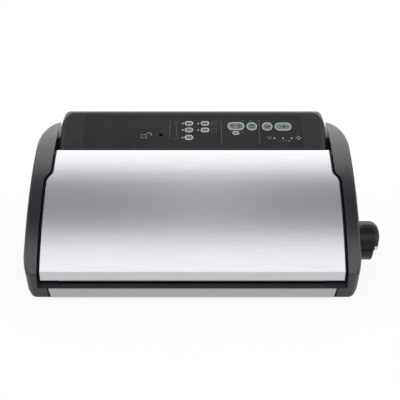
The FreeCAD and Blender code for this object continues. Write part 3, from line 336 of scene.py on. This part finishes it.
FINISHES = (
    (STEEL, group_of("lid_skin")),
    (STRIP_STEEL, group_of("front_strip")),
    (SATIN_BLACK, group_of("side_cover_left", "side_cover_right", "rear_cover")),
    (KNOB_BLACK, group_of("latch_knob")),
    (HOUSING_BLACK, group_of("control_housing")),
    (GRAIN_BLACK, group_of("base_tray", "cord_gland")),
    (DECK_GREY, group_of("base_deck", "drip_tray")),
    (FRAME_BLACK, group_of("lid_frame", "seal_bar")),
    (FILM_BLACK, group_of("control_fascia")),
    (BUTTON_GREY, group_of(*BUTTON_NAMES)),
    (SILVER_AND_HIGHLIGHT, group_of("button_bezels", "knob_pointer")),
    (LENS, group_of("indicator_lenses")),
    (RUBBER, group_of("rubber_feet", "lower_gasket", "upper_gasket", "accessory_port", "accessory_hose",
                      "vacuum_hose")),
    (SILICONE, group_of("pressure_strip")),
    (INNER_PLASTIC, group_of("suction_elbow", "shaft_brackets", "hinge_bushes", "tact_switches",
                             "latch_hook_left", "latch_hook_right")),
    (TAPE, group_of("seal_tape")),
    (PLAIN_STEEL, group_of("base_screws", "board_screws", "pump_screws", "hinge_pins", "latch_shaft",
                           "shaft_clips", "heating_element", "pump_plate")),
    (BOARD_GREEN, group_of("control_board")),
    (CAST_METAL, group_of("pump_body", "pump_motor", "solenoid_valve")),
    (CORE_IRON, group_of("transformer")),
)


def dress_nodes():
    for material, objects in FINISHES:
        for obj in objects:
            obj.data.materials.clear()
            obj.data.materials.append(material)


# The panel's own axes, read from the frame

def panel_axes():
    """Zero of the print's places at the panel's lower edge, the way up the panel and its normal."""
    press = next(j for j in frame["joints"] if j["name"] == BUTTON_NAMES[0] + "_press")
    normal = -Vector(press["axis"])
    up = Vector((0, normal.z, -normal.y))
    points = [v.co for v in nodes["control_fascia"].data.vertices]
    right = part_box("control_fascia")[1][0]
    start = min(p.dot(up) for p in points) - FASCIA_LOW * MM
    face = max(p.dot(normal) for p in points)
    origin = Vector((right - FASCIA_RIGHT * MM, 0, 0)) + up * start + normal * face
    return origin, up, normal


PANEL_ORIGIN, PANEL_UP, PANEL_NORMAL = panel_axes()


def panel_point(x, up, lift=PRINT_LIFT):
    return PANEL_ORIGIN + Vector((x * MM, 0, 0)) + PANEL_UP * (up * MM) + PANEL_NORMAL * (lift * MM)


# Flat marks

def ribbon(mesh, points, width, lift=PRINT_LIFT, closed=False):
    """Adds a flat line of the given width through points on the panel."""
    count = len(points)
    rows = []
    for i, (x, y) in enumerate(points):
        before = points[i - 1] if closed or i else points[0]
        after = points[(i + 1) % count] if closed or i + 1 < count else points[-1]
        run = Vector((after[0] - before[0], after[1] - before[1])).normalized()
        across = Vector((-run.y, run.x)) * (width / 2)
        sides = [(x + s * across.x, y + s * across.y) for s in (1, -1)]
        rows.append([mesh.verts.new(panel_point(*side, lift)) for side in sides])
    pairs = list(zip(rows, rows[1:]))
    if closed:
        pairs.append((rows[-1], rows[0]))
    for (a, b), (c, d) in pairs:
        mesh.faces.new((a, b, d, c))


def disc(mesh, x, y, r, lift=PRINT_LIFT):
    ring = []
    for i in range(ROUND_SIDES):
        angle = 2 * math.pi * i / ROUND_SIDES
        ring.append(mesh.verts.new(panel_point(x + r * math.cos(angle), y + r * math.sin(angle), lift)))
    mesh.faces.new(ring)


def arc_points(x, y, r, start, end, steps=ARC_STEPS):
    angles = [math.radians(start + (end - start) * i / steps) for i in range(steps + 1)]
    return [(x + r * math.cos(a), y + r * math.sin(a)) for a in angles]


def rectangle(x, y, half_x, half_y):
    return [(x + a * half_x, y + b * half_y) for a, b in ((-1, -1), (1, -1), (1, 1), (-1, 1))]


def thicken(mesh):
    """Turns flat marks into thin closed prints that reach into the face under them."""
    sink = PANEL_NORMAL * (-PRINT_DEPTH * MM)
    tops = mesh.faces[:]
    rims = [edge.verts[:] for edge in mesh.edges if edge.is_boundary]
    sunk = {vert: mesh.verts.new(vert.co + sink) for vert in mesh.verts[:]}
    for a, b in rims:
        mesh.faces.new((a, b, sunk[b], sunk[a]))
    for face in tops:
        mesh.faces.new([sunk[vert] for vert in reversed(face.verts[:])])


def piece(name, mesh, material, body):
    """Makes an object that rides on a body and takes the finish it is given."""
    data = bpy.data.meshes.new(name)
    bmesh.ops.recalc_face_normals(mesh, faces=mesh.faces)
    mesh.to_mesh(data)
    mesh.free()
    data.materials.append(material)
    obj = bpy.data.objects.new(name, data)
    bpy.context.scene.collection.objects.link(obj)
    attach(obj, body)


def panel_print():
    """Dividers and plain generic symbols beside the buttons."""
    faint = bmesh.new()
    for x, low, high in DIVIDERS:
        ribbon(faint, [(x, low), (x, high)], LINE_WIDTH)
    ribbon(faint, SLIDE_LINE, LINE_WIDTH)
    ribbon(faint, arc_points(*SLIDE_RING), LINE_WIDTH)
    ribbon(faint, SLIDE_BOWL, LINE_WIDTH)
    for y in SQUARE_HEIGHTS:
        ribbon(faint, rectangle(SQUARE_X, y, *SQUARE_HALVES), LINE_WIDTH, closed=True)
    for x, y, r in SQUARE_DOTS:
        disc(faint, x, y, r)
    for points in SIDE_LINES:
        ribbon(faint, points, LINE_WIDTH)
    thicken(faint)
    piece("panel_print_faint", faint, PRINT_GREY, "base")
    pale = bmesh.new()
    for x, y, r in PALE_DOTS:
        disc(pale, x, y, r)
    ribbon(pale, rectangle(*LOCK_BODY), LOCK_BODY_WIDTH, closed=True)
    ribbon(pale, arc_points(*LOCK_BOW), LOCK_BOW_WIDTH)
    thicken(pale)
    piece("panel_print_pale", pale, PRINT_PALE, "base")


def dress_button(name, marks):
    """Dark plain symbol on a button's top face."""
    obj = nodes[name]
    points = [v.co for v in obj.data.vertices]
    lift = (max(p.dot(PANEL_NORMAL) for p in points) - PANEL_ORIGIN.dot(PANEL_NORMAL)) / MM + PRINT_LIFT
    low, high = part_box(name)
    x = ((low[0] + high[0]) / 2 - PANEL_ORIGIN.x) / MM
    ups = [p.dot(PANEL_UP) for p in points]
    y = ((min(ups) + max(ups)) / 2 - PANEL_ORIGIN.dot(PANEL_UP)) / MM
    mesh = bmesh.new()
    for kind, *values in marks:
        if kind == "line":
            points, width = values
            ribbon(mesh, [(x + a, y + b) for a, b in points], width, lift)
        elif kind == "ring":
            a, b, r, width = values
            ribbon(mesh, arc_points(x + a, y + b, r, *RING_SWEEP, RING_STEPS), width, lift)
        else:
            a, b, r = values
            disc(mesh, x + a, y + b, r, lift)
    thicken(mesh)
    piece("glyph_" + name, mesh, GLYPH_DARK, name)


def dots(*places):
    return [("dot", x, y, GLYPH_DOT) for x, y in places]


def level(half, up, width):
    """Level line through the button's middle, raised by up."""
    return ("line", [(-half, up), (half, up)], width)


# Symbols on the buttons, in millimetres from each button's middle
GLYPHS = {
    "button_dry": [level(2.6, 0, 0.8)],
    "button_moist": [level(2.6, 0, 0.8)],
    "button_gentle": [level(2.6, 0, 0.8)],
    "button_normal": [level(2.6, 0, 0.8)],
    "button_canister": [level(2.2, 0.8, 0.6), level(2.2, -0.8, 0.6)],
    "button_option": [("ring", 0, 0, 1.0, 0.5)],
    "button_vacuum": [
        *dots((-6, 1.4), (-3.4, 1.4), (-4.7, -1.2), (4.4, 2.0), (4.4, -2.0), (2.4, 0), (6.4, 0)),
        ("line", [(-1.6, 0), (1.0, 0)], 1.0),
    ],
    "button_seal": [("line", arc_points(0, -0.8, 3.0, 10, 170), 1.5), level(2.2, -1.8, 1.2)],
    "button_crush": [*dots((-2.6, 0.4), (0, -0.6), (2.6, 0.4)), level(2.6, -2.2, 0.9)],
    "button_start": [
        ("line", [(-3.6, 0), (2.2, 0)], 1.5),
        ("line", [(0.4, 2.4), (3.0, 0), (0.4, -2.4)], 1.6),
        ("dot", 5.4, 0, 1.1),
    ],
}


# Dark lines between pieces

def seam_path():
    """Points and outward directions along the base's upper edge, from the mouth's left to its right."""
    low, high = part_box("base_tray")
    path = []
    for s in (-1, 1):
        side_x = high[0] if s > 0 else low[0]
        front = []
        rear = []
        corners = ((FRONT_CORNER, low[1], -1, front), (REAR_CORNER, high[1], 1, rear))
        for i in range(CORNER_STEPS + 1):
            turn = math.pi / 2 * i / CORNER_STEPS
            for corner, y_end, way, points in corners:
                a, b = (c * MM for c in corner)
                x = side_x - s * a * (1 - math.sin(turn))
                y = y_end - way * b * (1 - math.cos(turn))
                out = Vector((s * b * math.sin(turn), way * a * math.cos(turn), 0)).normalized()
                points.append((Vector((x, y, 0)), out))
        mouth = (Vector((side_x - s * MOUTH_MARGIN * MM, low[1], 0)), Vector((0, -1, 0)))
        half = [mouth] + front + rear[::-1]
        path += half if s < 0 else half[::-1]
    return path


def seam_line():
    """Thin dark line in the joint between the base and the covers."""
    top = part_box("base_tray")[1][2]
    mesh = bmesh.new()
    rings = []
    for point, out in seam_path():
        ring = []
        for over, up in ((SEAM_PROUD, -1), (SEAM_PROUD, 1), (-SEAM_DEPTH, 1), (-SEAM_DEPTH, -1)):
            place = point + out * (over * MM)
            ring.append(mesh.verts.new((place.x, place.y, top + up * SEAM_HALF * MM)))
        rings.append(ring)
    for one, other in zip(rings, rings[1:]):
        for i in range(4):
            mesh.faces.new((one[i], one[(i + 1) % 4], other[(i + 1) % 4], other[i]))
    mesh.faces.new(rings[0])
    mesh.faces.new(rings[-1][::-1])
    piece("seam_line", mesh, RUBBER, "base")


def strip_gaps():
    """Dark gap between the base and each slanted end of the steel strip."""
    low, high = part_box("front_strip")
    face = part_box("base_tray")[0][1]
    mesh = bmesh.new()
    for s, end in ((-1, low[0]), (1, high[0])):
        rings = []
        for z, slant, width in ((low[2], STRIP_SLANT, GAP_WIDTHS[0]), (high[2], 0.0, GAP_WIDTHS[1])):
            x = end - s * slant * MM
            ring = []
            for across, y in ((0, -GAP_PROUD), (width, -GAP_PROUD), (width, GAP_DEPTH), (0, GAP_DEPTH)):
                ring.append(mesh.verts.new((x + s * across * MM, face + y * MM, z)))
            rings.append(ring)
        for i in range(4):
            mesh.faces.new((rings[0][i], rings[0][(i + 1) % 4], rings[1][(i + 1) % 4], rings[1][i]))
        mesh.faces.new(rings[0])
        mesh.faces.new(rings[1])
    piece("strip_gaps", mesh, FRAME_BLACK, "base")


# Knob

def knob_painted_highlight():
    """Painted highlight: a silver-grey patch that follows the rim of the grip just over the line
    between grip and disc.
    """
    data = nodes["latch_knob"].data
    surface = BVHTree.FromPolygons([v.co for v in data.vertices], [p.vertices for p in data.polygons])
    turn = next(j for j in frame["joints"] if j["name"] == "latch_turn")
    lean = math.radians(GRIP_LEAN)
    up = Vector((0, math.sin(lean), math.cos(lean)))
    front = Vector((0, -math.cos(lean), math.sin(lean)))
    axis = Vector((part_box("latch_knob")[0][0], turn["pos_m"][1], turn["pos_m"][2]))
    mesh = bmesh.new()
    outer = []
    inner = []
    for i in range(HIGHLIGHT_STEPS + 1):
        rise = HIGHLIGHT_UP[0] + (HIGHLIGHT_UP[1] - HIGHLIGHT_UP[0]) * i / HIGHLIGHT_STEPS
        rows = ([], [])
        for k in range(HIGHLIGHT_STEPS + 1):
            out = HIGHLIGHT_OUT[0] + (HIGHLIGHT_OUT[1] - HIGHLIGHT_OUT[0]) * k / HIGHLIGHT_STEPS
            start = axis + Vector((out * MM, 0, 0)) + up * (rise * MM) + front
            spot, normal = surface.ray_cast(start, -front)[:2]
            rows[0].append(mesh.verts.new(spot + normal * (HIGHLIGHT_PROUD * MM)))
            rows[1].append(mesh.verts.new(spot - normal * (HIGHLIGHT_DEPTH * MM)))
        outer.append(rows[0])
        inner.append(rows[1])
    for i in range(HIGHLIGHT_STEPS):
        for k in range(HIGHLIGHT_STEPS):
            for grid in (outer, inner):
                mesh.faces.new((grid[i][k], grid[i][k + 1], grid[i + 1][k + 1], grid[i + 1][k]))
        for k in (0, HIGHLIGHT_STEPS):
            mesh.faces.new((outer[i][k], outer[i + 1][k], inner[i + 1][k], inner[i][k]))
            mesh.faces.new((outer[k][i], outer[k][i + 1], inner[k][i + 1], inner[k][i]))
    piece("knob_painted_highlight", mesh, SILVER_AND_HIGHLIGHT, "latch")


# Studio

def floor():
    """White floor: as seen, most of it is plain white, and the rest takes the object's shadow."""
    bpy.ops.mesh.primitive_plane_add(size=FLOOR_SIDE, location=(0, 0, 0))
    plane = bpy.context.object
    plane.name = "floor"
    material, tree, shader = new_material("floor_white")
    shader.inputs["Base Color"].default_value = FLOOR_TONE
    shader.inputs["Roughness"].default_value = FLOOR_ROUGH
    shader.inputs["Specular IOR Level"].default_value = FLOOR_SHINE
    glow = tree.nodes.new("ShaderNodeEmission")
    mix = tree.nodes.new("ShaderNodeMixShader")
    path = tree.nodes.new("ShaderNodeLightPath")
    seen = path.outputs["Is Camera Ray"]
    for ray in ("Is Glossy Ray", "Is Transmission Ray"):
        either = tree.nodes.new("ShaderNodeMath")
        either.operation = "MAXIMUM"
        tree.links.new(seen, either.inputs[0])
        tree.links.new(path.outputs[ray], either.inputs[1])
        seen = either.outputs[0]
    share = tree.nodes.new("ShaderNodeMath")
    share.operation = "MULTIPLY"
    share.inputs[1].default_value = FLOOR_WHITE
    tree.links.new(seen, share.inputs[0])
    tree.links.new(share.outputs[0], mix.inputs["Fac"])
    tree.links.new(shader.outputs["BSDF"], mix.inputs[1])
    tree.links.new(glow.outputs["Emission"], mix.inputs[2])
    tree.links.new(mix.outputs["Shader"], tree.nodes["Material Output"].inputs["Surface"])
    plane.data.materials.append(material)


def area_light(name, place, size, power):
    data = bpy.data.lights.new(name, "AREA")
    data.shape = "RECTANGLE"
    data.size = size[0]
    data.size_y = size[1]
    data.energy = power
    light = bpy.data.objects.new(name, data)
    light.location = place
    aim = Vector(LIGHT_TARGET) - Vector(place)
    light.rotation_euler = aim.to_track_quat("-Z", "Y").to_euler()
    bpy.context.scene.collection.objects.link(light)


def world():
    """White at the horizon, darker overhead."""
    sky = bpy.data.worlds.new("studio")
    bpy.context.scene.world = sky
    sky.use_nodes = True
    tree = sky.node_tree
    coords = tree.nodes.new("ShaderNodeTexCoord")
    parts = tree.nodes.new("ShaderNodeSeparateXYZ")
    shade = tree.nodes.new("ShaderNodeValToRGB")
    stops = shade.color_ramp.elements
    stops[0].color = SKY_HORIZON
    stops[1].color = SKY_TOP
    stops.new(SKY_BAND).color = SKY_LOW
    tree.links.new(coords.outputs["Generated"], parts.inputs[0])
    tree.links.new(parts.outputs["Z"], shade.inputs["Fac"])
    tree.links.new(shade.outputs["Color"], tree.nodes["Background"].inputs["Color"])
    tree.nodes["Background"].inputs["Strength"].default_value = 1.0


def camera():
    data = bpy.data.cameras.new("camera")
    data.lens = CAMERA_LENS
    data.sensor_width = CAMERA_SENSOR
    obj = bpy.data.objects.new("camera", data)
    obj.location = CAMERA_PLACE
    obj.rotation_euler = (math.radians(90 - CAMERA_DOWN), 0, 0)
    bpy.context.scene.collection.objects.link(obj)
    bpy.context.scene.camera = obj


def studio():
    floor()
    world()
    camera()
    for light in LIGHTS:
        area_light(*light)
    bpy.context.scene.view_settings.view_transform = "Standard"


def main():
    dress_nodes()
    panel_print()
    for name, marks in GLYPHS.items():
        dress_button(name, marks)
    seam_line()
    strip_gaps()
    # Painted highlight on the knob's rim
    knob_painted_highlight()
    studio()


main()
